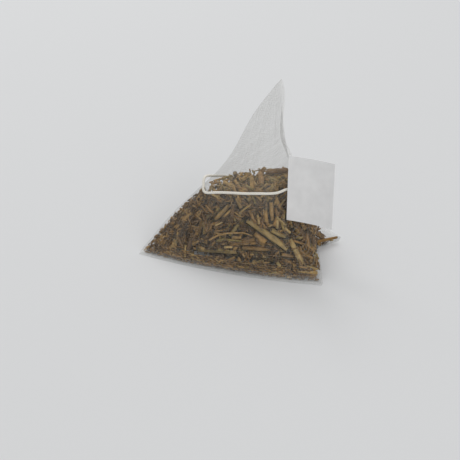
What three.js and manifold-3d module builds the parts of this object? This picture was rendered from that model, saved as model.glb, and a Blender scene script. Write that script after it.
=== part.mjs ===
// Pyramid tea bag: a tube of woven nylon mesh, welded flat at both ends with the two
// welds at right angles, part filled with cut roasted stems, with its string and paper tag.
// Millimetres, +Z up. It lies on one face, the front weld along +X, the upright weld behind.

import * as THREE from 'three';
import { mergeVertices } from 'three/addons/utils/BufferGeometryUtils.js';
import Module from 'manifold-3d';

// Pouch sizes
const sealLength = 64;          // flat width of the mesh tube, and length of the front weld
const sealBand = 2.6;           // width of each welded band
const sealThickness = 0.9;      // two walls welded into one
const wall = 0.5;               // mesh wall
const ridge = 0.22;             // height of the raised threads of the weave
const uprightWeldFoot = [64.6, 26];    // plan position of the upright weld's lower end
const apexPlan = [41.4, 25.6];         // plan position of the upright weld's upper end
const apexHeight = 59;          // height of the apex over the floor
const weldBow = 7.2;            // how far the upright weld bows in towards the left

// Swell of the filled faces and the slack of the two short folds
const frontBelly = 4.5;
const backBelly = 4;
const frontFoldSlack = 9;       // front-right fold drawn in towards the left
const lowerFoldSlack = 8;       // fold between the two right-hand corners, tucked in
const lowerFoldLift = 3;        // and lifted off the floor
const leftFoldSlack = 3.8;      // left fold drawn in where the string is wound round it

// Grid of the mesh: the folds run along the diagonals, so columns = 4 x rows
const rows = 16;
const columns = 4 * rows;
const gapEdge = 0.24;           // rim of a weave opening, as a share of its cell
const gapColumnStep = 3;        // an opening in every third column
const gapRowStep = 2;           // and every second row

// Contents
const clearance = 0.3;          // gap between pieces that rest on each other
const fillHeight = 28.5;        // level of the tea over the floor, at the upright weld
const fillSlope = 0.08;         // fall of that level towards the left
const bedDepth = 1.6;           // bed of fine cut leaf under the layer of stems
const bedRough = 0.7;           // unevenness of the bed
const bedEndGap = 0.5;          // bed's ends inside the cavity's, as a share of a row
const bedLastRow = 13;          // row of the grid where the bed ends
const stemCount = 44;
const stemRadius = [0.6, 1.0];
const stemLength = [5, 13];
const stemSides = 7;
const stemRise = 3;             // how many radii a stem's end may stand over the level
const stemSink = 0.9;           // how much deeper than the mesh a stem may lie
const stemMostSunken = 0.95;    // share of a stem that may be down in the bed
const stemSettle = 5;           // how much deeper a stem laid by hand may be sunk
const grooveSides = 8;
const bedShortest = 0.08;       // edges of the bed shorter than this are merged
const twigCount = 16;           // short pieces that are part of the bed
const twigLength = [4, 8];
const twigRadius = [0.6, 0.9];

// Starting numbers of the repeatable random streams
const bedSeed = 16;
const stemSeed = 100;
const shapeSeed = 5;
const twigSeed = 900;

// Stems under the front face: x and s of each end on that face, then the radius
const frontStems = [
  [-0.82, 0.14, -0.12, 0.17, 0.80], [-0.03, 0.19, 0.45, 0.20, 0.75],
  [-0.06, 0.34, 0.80, 0.19, 1.05], [0.48, 0.29, 0.84, 0.25, 0.80],
  [-0.59, 0.29, -0.49, 0.38, 0.75], [0.45, 0.44, 0.51, 0.34, 0.70],
  [-0.38, 0.42, -0.16, 0.37, 0.60], [-0.74, 0.26, -0.58, 0.19, 0.60],
  [-0.22, 0.22, -0.14, 0.29, 0.60], [0.20, 0.16, 0.50, 0.16, 0.60],
  [0.64, 0.15, 0.84, 0.14, 0.60],
];

// Stems in the rear corner, the same way, on the floor
const cornerStems = [
  [0.00, 0.60, -0.03, 0.80, 0.60], [0.60, 0.55, 0.50, 0.70, 0.60],
];

// String and tag
const stringDiameter = 0.9;
const stringSides = 8;
const stringSteps = 72;
const tagWidth = 17.2;
const tagHeight = 21.8;
const tagMiddle = [24.2, -3.3, 28.7];
const tagTurn = { x: -14.9, y: -9.5, z: -20.7 };   // degrees, about z, then x, then y
const tagThickness = 0.35;
const tagCurl = 0.9;            // bow of the card across its width

// Route of the string: welded to the right-hand face, over the upright weld, across the
// back, over the left fold, across the front and under the tag
const stringRoute = [
  [25.0, 2.0, 15.1], [24.3, 4.1, 15.1], [23.4, 6.5, 15.1], [22.9, 8.9, 14.8],
  [22.8, 11.3, 14.5], [23.0, 13.2, 14.5], [22.4, 14.9, 14.5], [21.3, 15.2, 14.6],
  [20.3, 13.9, 14.6], [18.9, 12.5, 14.8], [16.4, 11.5, 15.0], [12.6, 10.8, 15.9],
  [8.6, 10.1, 17.6], [4.7, 9.4, 19.2], [0.6, 8.5, 20.8], [-3.3, 7.6, 22.4],
  [-7.3, 5.7, 23.8], [-10.1, 2.7, 25.3], [-12.0, -0.3, 26.8], [-12.3, -1.7, 27.0],
  [-12.4, -2.8, 26.3], [-12.1, -3.8, 25.3], [-12.0, -4.6, 24.5], [-11.3, -5.4, 23.8],
  [-10.1, -5.8, 23.9], [-8.7, -6.0, 24.3], [-6.6, -6.2, 24.9], [-1.6, -6.3, 25.7],
  [2.6, -6.3, 26.2], [7.7, -5.7, 26.7], [9.9, -5.0, 26.6], [11.6, -4.1, 26.4],
  [12.9, -3.0, 26.2], [13.9, -1.8, 26.1], [15.2, -0.2, 26.1], [16.8, 0.3, 26.2],
  [18.5, 0.0, 26.3], [20.3, -1.0, 26.4],
];

const { Vector3 } = THREE;
const wasm = await Module();
wasm.setup();

// Frame of the pouch: the two welds and the line between their middles
const foot = new Vector3(uprightWeldFoot[0], uprightWeldFoot[1], 0);
const apex = new Vector3(apexPlan[0], apexPlan[1], apexHeight);
const along = new Vector3(1, 0, 0);
const upright = apex.clone().sub(foot).normalize();
const uprightLength = apex.distanceTo(foot);
const frontMiddle = new Vector3(sealLength / 2, sealBand, sealThickness / 2 * upright.z);
const rearMiddle = apex.clone().add(foot).multiplyScalar(0.5);
const frontNormal = new Vector3().crossVectors(along, apex).normalize();
frontNormal.multiplyScalar(Math.sign(-frontNormal.y));
const backNormal = new Vector3().crossVectors(foot, apex).normalize();
backNormal.multiplyScalar(Math.sign(backNormal.y));

const frontRight = new Vector3(sealLength, sealBand, 0);
const rightNormal = foot.clone().sub(frontRight).cross(apex.clone().sub(frontRight)).normalize();

// How far along a section's two directions a depth of one under each face reaches
const inset = {
  right: 1 / Math.abs(along.dot(rightNormal)),
  left: 1 / Math.abs(along.dot(backNormal)),
  up: 1 / Math.abs(upright.dot(frontNormal)),
  down: 1 / upright.z,
};

const lerp = (a, b, t) => a + (b - a) * t;
const arch = (t) => Math.sin(Math.PI * Math.min(Math.max(t, 0), 1));

// Bow of the upright weld at y: none at the apex, full at two fifths of the way down, half
// near the foot, where the corner turns out again, sharply at the weld and softly before it
function weldBowShare(y, s) {
  const down = (1 - y) / 2;
  const start = THREE.MathUtils.smoothstep(down, 0, 0.4);
  const fading = 1 - 0.5 * Math.max(down - 0.4, 0) / 0.6;
  return start * fading * (1 - Math.pow(down, 4 + 36 * Math.pow(s, 8))) * s * s;
}

// A point of the pouch: x and y from -1 to 1 across the rectangle that the tube makes at
// the share s of the way from the front weld to the upright weld, depth under the skin
function pouchPoint(x, y, s, depth = 0) {
  const halfFront = lerp(sealLength / 2, sealThickness / 2, s);
  const halfUpright = lerp(sealThickness / 2, uprightLength / 2, s);
  const point = frontMiddle.clone().lerp(rearMiddle, s);
  point.addScaledVector(along, (halfFront - depth * (x > 0 ? inset.right : inset.left)) * x);
  point.addScaledVector(upright, (halfUpright - depth * (y > 0 ? inset.up : inset.down)) * y);
  const up = (1 + y) / 2;
  const left = (1 - x) / 2;
  const nearRight = Math.pow(Math.max(x, 0), 2);
  const nearTop = Math.pow(Math.max(y, 0), 2);
  const nearFloor = Math.pow(Math.max(-y, 0), 2);
  const belly = arch(Math.pow(s, 0.75)) * (1 - 0.5 * s);
  point.addScaledVector(frontNormal, frontBelly * (1 - x * x) * up * belly);
  point.addScaledVector(backNormal, backBelly * (1 - y * y) * left * arch(s) * (1 - 0.3 * y));
  const frontSlack = nearRight * nearTop * arch(Math.pow(s, 0.8));
  const lowerSlack = nearRight * nearFloor * arch(s);
  const leftSlack = Math.pow(Math.max(-x, 0), 2) * nearTop * arch(Math.pow(s, 1.15)) ** 4;
  const bow = weldBowShare(y, s);
  point.x -= frontFoldSlack * frontSlack + lowerFoldSlack * lowerSlack + weldBow * bow;
  point.x += leftFoldSlack * leftSlack;
  point.y += 0.3 * frontFoldSlack * frontSlack;
  point.z += lowerFoldLift * lowerSlack;
  return point;
}

// Place of column i on the rectangle at a row: the folds are at i = row, half - row and so on
function cellCoordinates(i, row) {
  const half = columns / 2;
  const frontSpan = half - 2 * row;
  const sideSpan = 2 * row;
  const turn = ((i - row) % columns + columns) % columns;
  if (row === 0) {
    const x = i <= half ? -1 + 2 * i / half : 3 - 2 * i / half;
    const y = i % half === 0 ? 0 : (i < half ? 1 : -1);
    return [x, y];
  }
  if (row === rows) {
    const k = ((i - columns / 4) % columns + columns) % columns;
    const y = k <= half ? 1 - 2 * k / half : -3 + 2 * k / half;
    const x = k % half === 0 ? 0 : (k < half ? 1 : -1);
    return [x, y];
  }
  if (turn <= frontSpan) return [-1 + 2 * turn / frontSpan, 1];
  if (turn <= frontSpan + sideSpan) return [1, 1 - 2 * (turn - frontSpan) / sideSpan];
  if (turn <= 2 * frontSpan + sideSpan) {
    return [1 - 2 * (turn - frontSpan - sideSpan) / frontSpan, -1];
  }
  return [-1, -1 + 2 * (turn - 2 * frontSpan - sideSpan) / sideSpan];
}

function gridPoint(i, row, depth) {
  const [x, y] = cellCoordinates(i, row);
  return pouchPoint(x, y, row / rows, depth);
}

// Triangles of one cell, cut along the diagonal that the fold takes there
function cellTriangles(i, row) {
  const j = (i + 1) % columns;
  const quarter = columns / 4;
  const leansForward = i < quarter || (i >= 2 * quarter && i < 3 * quarter);
  return leansForward
    ? [[[i, row], [j, row], [j, row + 1]], [[i, row], [j, row + 1], [i, row + 1]]]
    : [[[i, row], [j, row], [i, row + 1]], [[j, row], [j, row + 1], [i, row + 1]]];
}

// Strip that closes a flattened end of the tube, pairing columns about a first column
function endStrip(first) {
  const strip = [];
  const at = (k) => ((first + k) % columns + columns) % columns;
  const half = columns / 2;
  for (let k = 0; k < half; k++) {
    if (k > 0) strip.push([at(k), at(-k), at(-k - 1)]);
    if (k < half - 1) strip.push([at(k), at(-k - 1), at(k + 1)]);
  }
  return strip;
}

function geometryFrom(triangles) {
  const positions = [];
  for (const triangle of triangles) {
    for (const p of triangle) positions.push(p.x, p.y, p.z);
  }
  const geometry = new THREE.BufferGeometry();
  geometry.setAttribute('position', new THREE.Float32BufferAttribute(positions, 3));
  return geometry;
}

function makePouch() {
  const triangles = [];
  const outer = new Map();
  const inner = new Map();
  const skin = (i, row) => {
    const key = row * columns + i;
    if (!outer.has(key)) {
      const [x, y] = cellCoordinates(i, row);
      const onFold = Math.abs(x) === 1 && Math.abs(y) === 1;
      const flat = row === 0 || row === rows || y === -1 || onFold;
      const threads = (i % 2 === 0 ? 0.5 : 0) + (row % 2 === 0 ? 0.5 : 0);
      const point = gridPoint(i, row, flat ? 0 : -ridge * threads);
      point.z = Math.max(point.z, 0);
      outer.set(key, point);
    }
    return outer.get(key);
  };
  const lining = (i, row) => {
    const key = row * columns + i;
    if (!inner.has(key)) inner.set(key, gridPoint(i, row, wall));
    return inner.get(key);
  };
  const isOpening = (i, row) => {
    const quarter = columns / 4;
    const nearFold = [row, 2 * quarter - row, 2 * quarter + row, columns - row].some((fold) => {
      const span = Math.abs(((i - fold) % columns + columns + columns / 2) % columns - columns / 2);
      return span <= 2;
    });
    const onFloor = i > 2 * quarter + row && i < columns - row - 1;
    return row >= 2 && row <= rows - 3 && !nearFold && !onFloor
      && (i + row) % gapColumnStep === 0 && row % gapRowStep === 0;
  };
  const openingIn = (place, i, row) => {
    const j = (i + 1) % columns;
    const corners = [place(i, row), place(j, row), place(j, row + 1), place(i, row + 1)];
    const at = (u, v) => corners[0].clone().multiplyScalar((1 - u) * (1 - v))
      .addScaledVector(corners[1], u * (1 - v))
      .addScaledVector(corners[2], u * v)
      .addScaledVector(corners[3], (1 - u) * v);
    const e = gapEdge;
    const hole = [at(e, e), at(1 - e, e), at(1 - e, 1 - e), at(e, 1 - e)];
    return { corners, hole };
  };
  for (let row = 0; row < rows; row++) {
    for (let i = 0; i < columns; i++) {
      const hasLining = row >= 1 && row < rows - 1;
      if (hasLining && isOpening(i, row)) {
        const out = openingIn(skin, i, row);
        const into = openingIn(lining, i, row);
        for (let c = 0; c < 4; c++) {
          const d = (c + 1) % 4;
          triangles.push([out.corners[c], out.corners[d], out.hole[d]]);
          triangles.push([out.corners[c], out.hole[d], out.hole[c]]);
          triangles.push([into.corners[d], into.corners[c], into.hole[c]]);
          triangles.push([into.corners[d], into.hole[c], into.hole[d]]);
          triangles.push([out.hole[c], out.hole[d], into.hole[d]]);
          triangles.push([out.hole[c], into.hole[d], into.hole[c]]);
        }
        continue;
      }
      for (const triangle of cellTriangles(i, row)) {
        triangles.push(triangle.map(([column, line]) => skin(column, line)));
        if (hasLining) {
          triangles.push(triangle.map(([column, line]) => lining(column, line)).reverse());
        }
      }
    }
  }
  // Welded bands: the two flattened ends run on past the cavity
  const frontBand = new Vector3(0, -sealBand, 0);
  const rearBand = new Vector3(0.15, 1, 0).normalize().multiplyScalar(sealBand);
  const ends = [[0, 0, frontBand, false], [rows, columns / 4, rearBand, true]];
  for (const [row, first, direction, rear] of ends) {
    const edge = (i) => skin(i, row).clone().add(direction);
    for (let i = 0; i < columns; i++) {
      const j = (i + 1) % columns;
      const quad = [skin(i, row), skin(j, row), edge(j), edge(i)];
      const faces = [[quad[0], quad[2], quad[1]], [quad[0], quad[3], quad[2]]];
      for (const face of faces) triangles.push(rear ? face.reverse() : face);
    }
    for (const [p, q, r] of endStrip(first)) {
      const face = [edge(p), edge(q), edge(r)];
      triangles.push(rear ? face.reverse() : face);
    }
  }
  // Ends of the cavity
  for (const [row, first, rear] of [[1, 0, false], [rows - 1, columns / 4, true]]) {
    for (const [p, q, r] of endStrip(first)) {
      const face = [lining(p, row), lining(q, row), lining(r, row)];
      triangles.push(rear ? face : face.reverse());
    }
  }
  return geometryFrom(triangles);
}

// Solid for joining and cutting, from a closed geometry
function solidFrom(geometry) {
  const bare = geometry.clone();
  bare.deleteAttribute('normal');
  bare.deleteAttribute('uv');
  const merged = mergeVertices(bare, 1e-4);
  return new wasm.Manifold(new wasm.Mesh({
    numProp: 3,
    vertProperties: new Float32Array(merged.attributes.position.array),
    triVerts: new Uint32Array(merged.index.array),
  }));
}

function geometryOf(solid) {
  const mesh = solid.getMesh();
  const geometry = new THREE.BufferGeometry();
  geometry.setAttribute('position', new THREE.BufferAttribute(mesh.vertProperties, 3));
  geometry.setIndex(new THREE.BufferAttribute(mesh.triVerts, 1));
  return geometry;
}

// The largest connected skin of a joined solid: pockets shut in between twigs are filled
function largestSkin(geometry) {
  const index = Array.from(geometry.index.array);
  const leader = Array.from({ length: geometry.attributes.position.count }, (_, k) => k);
  const find = (k) => {
    while (leader[k] !== k) k = leader[k] = leader[leader[k]];
    return k;
  };
  for (let t = 0; t < index.length; t += 3) {
    leader[find(index[t + 1])] = find(index[t]);
    leader[find(index[t + 2])] = find(index[t]);
  }
  const sizes = new Map();
  for (let t = 0; t < index.length; t += 3) {
    sizes.set(find(index[t]), (sizes.get(find(index[t])) || 0) + 1);
  }
  const [largest] = [...sizes].sort((a, b) => b[1] - a[1])[0];
  const kept = [];
  for (let t = 0; t < index.length; t += 3) {
    if (find(index[t]) === largest) kept.push(index[t], index[t + 1], index[t + 2]);
  }
  const skin = geometry.clone();
  skin.setIndex(kept);
  return skin;
}

// Repeatable random numbers from 0 to 1
function randomFrom(seed) {
  let state = seed;
  return () => {
    state = (state + 0x6d2b79f5) | 0;
    let t = Math.imul(state ^ (state >>> 15), 1 | state);
    t = (t + Math.imul(t ^ (t >>> 7), 61 | t)) ^ t;
    return ((t ^ (t >>> 14)) >>> 0) / 4294967296;
  };
}

// Bed of cut leaf: it fills the thin wedges at the two welds and leaves room for the stems
// under the wider faces
function bedSkinDepth(s) {
  const least = wall + clearance + 0.2;
  const most = (lerp(sealLength / 2, sealThickness / 2, s) - 1) / inset.left - bedRough;
  const depth = lerp(least, bedDepth, THREE.MathUtils.smoothstep(s, 0.06, 0.22));
  return Math.max(least, Math.min(depth, most));
}

const fillLevel = (x) => fillHeight - fillSlope * (uprightWeldFoot[0] - x);

function makeBedCore() {
  const random = randomFrom(bedSeed);
  const triangles = [];
  const points = new Map();
  const place = (i, row) => {
    const key = row * columns + i;
    if (!points.has(key)) {
      const rough = row > 2 ? bedRough * random() : 0;
      const s = (row + (row === 1 ? bedEndGap : 0)) / rows;
      const [x, y] = cellCoordinates(i, row);
      points.set(key, pouchPoint(x, y, s, bedSkinDepth(s) + rough));
    }
    return points.get(key);
  };
  for (let row = 1; row < bedLastRow; row++) {
    for (let i = 0; i < columns; i++) {
      for (const triangle of cellTriangles(i, row)) {
        triangles.push(triangle.map(([column, line]) => place(column, line)));
      }
    }
  }
  for (const [row, first, rear] of [[1, 0, false], [bedLastRow, columns / 4, true]]) {
    for (const [p, q, r] of endStrip(first)) {
      const face = [place(p, row), place(q, row), place(r, row)];
      triangles.push(rear ? face.reverse() : face);
    }
  }
  const span = 4 * sealLength;
  const below = new THREE.BoxGeometry(span, span, span);
  below.translate(0, 0, -span / 2);
  below.rotateY(-Math.atan(fillSlope));
  below.translate(uprightWeldFoot[0], 0, fillHeight);
  return solidFrom(geometryFrom(triangles)).intersect(solidFrom(below));
}

// Groove that a stem lies in, a clearance wider than the stem all round
function grooveSolid({ start, end, radius }) {
  const length = start.distanceTo(end) + 2 * clearance;
  const reach = (radius + clearance) / Math.cos(Math.PI / grooveSides);
  const groove = new THREE.CylinderGeometry(reach, reach, length, grooveSides, 1);
  const direction = end.clone().sub(start).normalize();
  groove.applyQuaternion(new THREE.Quaternion().setFromUnitVectors(new Vector3(0, 1, 0), direction));
  const middle = start.clone().lerp(end, 0.5);
  groove.translate(middle.x, middle.y, middle.z);
  return solidFrom(groove);
}

// One cut stem: a slightly bent and uneven rod with slanted ends
function stemGeometry(start, end, radius, random) {
  const length = start.distanceTo(end);
  const rod = new THREE.CylinderGeometry(radius * 0.92, radius, length, stemSides, 2);
  rod.deleteAttribute('normal');
  rod.deleteAttribute('uv');
  const merged = mergeVertices(rod, 1e-4);
  const position = merged.attributes.position;
  const bend = 0.25 * radius * (random() - 0.5);
  const slant = 0.5 * radius * (random() - 0.5);
  for (let k = 0; k < position.count; k++) {
    const y = position.getY(k);
    const uneven = 1 - 0.18 * random();
    const share = 2 * y / length;
    position.setX(k, position.getX(k) * uneven + bend * (1 - share * share));
    position.setZ(k, position.getZ(k) * uneven);
    position.setY(k, y - Math.abs(share) * slant * position.getX(k) / radius);
  }
  const direction = end.clone().sub(start).normalize();
  const turn = new THREE.Quaternion().setFromUnitVectors(new Vector3(0, 1, 0), direction);
  merged.applyQuaternion(turn);
  const middle = start.clone().lerp(end, 0.5);
  merged.translate(middle.x, middle.y, middle.z);
  return merged;
}

// Triangles of a geometry, each with its middle and reach
function trianglesOf(geometry) {
  const flat = geometry.index ? geometry.toNonIndexed() : geometry;
  const position = flat.attributes.position;
  const list = [];
  for (let k = 0; k < position.count; k += 3) {
    const [a, b, c] = [0, 1, 2].map((n) => new Vector3().fromBufferAttribute(position, k + n));
    const middle = a.clone().add(b).add(c).divideScalar(3);
    const reach = Math.max(middle.distanceTo(a), middle.distanceTo(b), middle.distanceTo(c));
    list.push({ triangle: new THREE.Triangle(a, b, c), middle, reach });
  }
  return list;
}

// Nearest distance from a rod's axis to a triangle set, up to a reach
function distanceToTriangles(start, end, list, reach) {
  let least = reach;
  const point = new Vector3();
  const closest = new Vector3();
  const samples = 6;
  for (let n = 0; n <= samples; n++) {
    point.copy(start).lerp(end, n / samples);
    for (const { triangle, middle, reach: size } of list) {
      if (point.distanceTo(middle) - size > least) continue;
      triangle.closestPointToPoint(point, closest);
      least = Math.min(least, closest.distanceTo(point));
    }
  }
  return least;
}

function distanceBetweenRods(p1, q1, p2, q2) {
  const d1 = q1.clone().sub(p1);
  const d2 = q2.clone().sub(p2);
  const r = p1.clone().sub(p2);
  const a = d1.dot(d1);
  const e = d2.dot(d2);
  const b = d1.dot(d2);
  const c = d1.dot(r);
  const f = d2.dot(r);
  const clamp = THREE.MathUtils.clamp;
  const spread = a * e - b * b;
  let s = spread > 1e-9 ? clamp((b * f - c * e) / spread, 0, 1) : 0;
  let t = (b * s + f) / e;
  if (t < 0 || t > 1) {
    t = clamp(t, 0, 1);
    s = clamp((b * t - c) / a, 0, 1);
  }
  return p1.clone().addScaledVector(d1, s).distanceTo(p2.clone().addScaledVector(d2, t));
}

const touchesRod = (start, end, least, rods) => rods.some((rod) => (
  distanceBetweenRods(start, end, rod.start, rod.end) < least + rod.radius
));

// A place under one face of the pouch, with the two directions along that face
function placeUnderFace(face, depth, random) {
  const spans = {
    front: () => [lerp(-0.88, 0.85, random()), 1, lerp(0.1, 0.62, random())],
    side: () => [1, lerp(-0.75, 0.75, random()), lerp(0.3, 0.8, random())],
    back: () => [-1, lerp(-0.85, 0.6, random()), lerp(0.2, 0.8, random())],
    floor: () => [lerp(-0.8, 0.5, random()), -1, lerp(0.15, 0.75, random())],
    top: () => [lerp(-0.7, 0.7, random()), lerp(-0.5, 0.8, random()), lerp(0.4, 0.85, random())],
  };
  const [x, y, s] = spans[face]();
  const middle = pouchPoint(x, y, s, depth);
  if (face === 'top') {
    middle.z = fillLevel(middle.x) + depth;
    const first = new Vector3(1, 0, fillSlope).normalize();
    return { middle, first, second: new Vector3(0, 1, 0) };
  }
  const across = face === 'front' || face === 'floor';
  const step = 0.02;
  const aside = across ? pouchPoint(x + step, y, s, depth) : pouchPoint(x, y + step, s, depth);
  const onward = pouchPoint(x, y, s + step, depth);
  const first = aside.sub(middle).normalize();
  const second = onward.sub(middle);
  second.addScaledVector(first, -second.dot(first)).normalize();
  return { middle, first, second };
}

function rodAt({ middle, first, second }, angle, length, radius) {
  const direction = first.clone().multiplyScalar(Math.cos(angle));
  direction.addScaledVector(second, Math.sin(angle));
  const start = middle.clone().addScaledVector(direction, -length / 2);
  const end = middle.clone().addScaledVector(direction, length / 2);
  return { start, end, radius };
}

// The stems that show best, by hand, each sunk until it is clear, then the rest wherever
// they find room: each has its own size and tries, so no stem's place changes another's size
function layStems(lining, bed) {
  const faces = ['front', 'front', 'front', 'back', 'front', 'side', 'back', 'top', 'floor'];
  const rods = [];
  const isClear = ({ start, end, radius }) => {
    const least = radius + clearance;
    return !touchesRod(start, end, least, rods)
      && distanceToTriangles(start, end, lining, 2 * least) >= least
      && insidePouch(start) && insidePouch(end);
  };
  const isCarried = (rod) => {
    const near = rod.radius + 2 * clearance;
    const groove = grooveSolid(rod);
    const sunken = bed.intersect(groove).volume();
    if (sunken > stemMostSunken * groove.volume()) return false;
    return sunken > 2 * rod.radius ** 3 || touchesRod(rod.start, rod.end, near, rods)
      || distanceToTriangles(rod.start, rod.end, lining, 2 * near) < near;
  };
  const settle = (rodAtDepth, radius) => {
    for (let sunk = 0; sunk < stemSettle; sunk += 0.1) {
      const rod = rodAtDepth(wall + clearance + radius + sunk);
      if (isClear(rod)) {
        rods.push(rod);
        return;
      }
    }
  };
  for (const [stemsByHand, y] of [[frontStems, 1], [cornerStems, -1]]) {
    for (const [x1, s1, x2, s2, radius] of stemsByHand) {
      settle((depth) => {
        return { start: pouchPoint(x1, y, s1, depth), end: pouchPoint(x2, y, s2, depth), radius };
      }, radius);
    }
  }
  for (let k = rods.length; k < stemCount; k++) {
    const random = randomFrom(stemSeed + k);
    const radius = lerp(stemRadius[0], stemRadius[1], random());
    const share = (k / stemCount + random()) / 2;
    const length = lerp(stemLength[1], stemLength[0], share);
    for (let attempt = 0; attempt < 500; attempt++) {
      const face = faces[(k + Math.floor(attempt / 60)) % faces.length];
      const skinDepth = (face === 'top' ? 0 : wall) + clearance + radius + 0.1;
      const depth = skinDepth + (face === 'top' ? 0 : stemSink * random());
      const rod = rodAt(placeUnderFace(face, depth, random), Math.PI * random(), length, radius);
      const high = Math.max(...[rod.start, rod.end].map((p) => p.z - fillLevel(p.x)));
      if (high > stemRise * radius || !isClear(rod) || !isCarried(rod)) continue;
      rods.push(rod);
      break;
    }
  }
  return rods;
}

// True where a point lies inside the pouch: it crosses the mesh once on its way up
let crossingList = [];
function insidePouch(point) {
  let crossings = 0;
  const ray = new THREE.Ray(point, new Vector3(0.0131, 0.0077, 1).normalize());
  for (const { triangle } of crossingList) {
    if (ray.intersectTriangle(triangle.a, triangle.b, triangle.c, false, new Vector3())) crossings++;
  }
  return crossings % 2 === 1;
}

// Inside of the mesh, without its openings
function liningGeometry() {
  const triangles = [];
  for (let row = 1; row < rows - 1; row++) {
    for (let i = 0; i < columns; i++) {
      for (const triangle of cellTriangles(i, row)) {
        triangles.push(triangle.map(([column, line]) => gridPoint(column, line, wall)));
      }
    }
  }
  for (const [row, first] of [[1, 0], [rows - 1, columns / 4]]) {
    for (const strip of endStrip(first)) {
      triangles.push(strip.map((i) => gridPoint(i, row, wall)));
    }
  }
  return geometryFrom(triangles);
}

// Short twigs that lie half sunk in the bed, kept clear of the stems and the mesh
function addTwigs(core, lining, rods) {
  const faces = ['front', 'top', 'front', 'back', 'front', 'side'];
  let bed = core;
  for (let k = 0; k < twigCount; k++) {
    const random = randomFrom(twigSeed + k);
    const radius = lerp(twigRadius[0], twigRadius[1], random());
    const length = lerp(twigLength[0], twigLength[1], random());
    for (let attempt = 0; attempt < 200; attempt++) {
      const face = faces[k % faces.length];
      const depth = face === 'top' ? 0.2 : bedDepth - 0.1;
      const rod = rodAt(placeUnderFace(face, depth, random), Math.PI * random(), length, radius);
      const least = radius + clearance;
      const high = Math.max(...[rod.start, rod.end].map((p) => p.z - fillLevel(p.x)));
      if (high > radius || touchesRod(rod.start, rod.end, least, rods)) continue;
      if (!insidePouch(rod.start) || !insidePouch(rod.end)) continue;
      if (distanceToTriangles(rod.start, rod.end, lining, 2 * least) < least) continue;
      const twig = solidFrom(stemGeometry(rod.start, rod.end, radius, random));
      if (core.intersect(twig).getMesh().numTri === 0) continue;
      bed = bed.add(twig);
      break;
    }
  }
  return bed;
}

// Twisted cotton string, as a plain round tube along its route
function makeString() {
  const section = new THREE.Shape();
  for (let k = 0; k < stringSides; k++) {
    const angle = 2 * Math.PI * k / stringSides;
    const [x, y] = [Math.cos(angle), Math.sin(angle)].map((share) => share * stringDiameter / 2);
    if (k === 0) section.moveTo(x, y);
    else section.lineTo(x, y);
  }
  const points = stringRoute.map(([x, y, z]) => new Vector3(x, y, z));
  const path = new THREE.CatmullRomCurve3(points, false, 'centripetal');
  return new THREE.ExtrudeGeometry(section, { steps: stringSteps, extrudePath: path });
}

// Paper tag: a thin card, bowed across its width
function makeTag() {
  const card = new THREE.BoxGeometry(tagWidth, tagThickness, tagHeight, 8, 1, 1);
  const position = card.attributes.position;
  for (let k = 0; k < position.count; k++) {
    const share = 2 * position.getX(k) / tagWidth;
    position.setY(k, position.getY(k) - tagCurl * (share * share - 0.33));
  }
  return card;
}

function colour(hex) {
  return new THREE.MeshStandardMaterial({ color: hex, roughness: 0.8, metalness: 0 });
}

const materials = {
  nylon: new THREE.MeshStandardMaterial({ color: 0xe6e6e2, roughness: 0.5, metalness: 0 }),
  cotton: colour(0xf0ede4),
  paper: colour(0xf2f2f2),
  leaf: colour(0x5c4a2f),
  stem: colour(0x80683f),
};

function addMesh(parent, name, geometry, material) {
  const mesh = new THREE.Mesh(geometry, material);
  mesh.name = name;
  parent.add(mesh);
  return mesh;
}

const teaBag = new THREE.Group();
const pouch = new THREE.Group();
teaBag.add(pouch);
const pouchGeometry = makePouch();
addMesh(pouch, 'mesh_pouch', pouchGeometry, materials.nylon);

const lining = trianglesOf(liningGeometry());
crossingList = lining;
const fullBed = makeBedCore();
const stems = layStems(lining, fullBed);
const core = fullBed.subtract(wasm.Manifold.union(stems.map(grooveSolid)));
const stemRandom = randomFrom(shapeSeed);
stems.forEach(({ start, end, radius }, k) => {
  const name = `stem_${String(k + 1).padStart(2, '0')}`;
  addMesh(pouch, name, stemGeometry(start, end, radius, stemRandom), materials.stem);
});
const bed = addTwigs(core, lining, stems).simplify(bedShortest);
addMesh(pouch, 'tea_bed', largestSkin(geometryOf(bed)), materials.leaf);

// The origin is on the floor, under the middle of the pouch's box
pouchGeometry.computeBoundingBox();
const middle = pouchGeometry.boundingBox.getCenter(new Vector3());
pouch.position.set(-middle.x, -middle.y, 0);

addMesh(teaBag, 'string', makeString(), materials.cotton);
const tag = addMesh(teaBag, 'tag', makeTag(), materials.paper);
const radians = THREE.MathUtils.degToRad;
tag.rotation.set(radians(tagTurn.x), radians(tagTurn.y), radians(tagTurn.z), 'ZXY');
tag.position.set(...tagMiddle);

export default teaBag;
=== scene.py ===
# Pyramid tea bag of woven nylon mesh, part filled with cut roasted stems, with its cotton
# string and paper tag. Sizes are in millimetres, and the finished meshes in metres, both in
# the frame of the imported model.

import math

import bmesh
import bpy
import numpy as np
from mathutils import Matrix, Vector, noise
from mathutils.bvhtree import BVHTree


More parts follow.
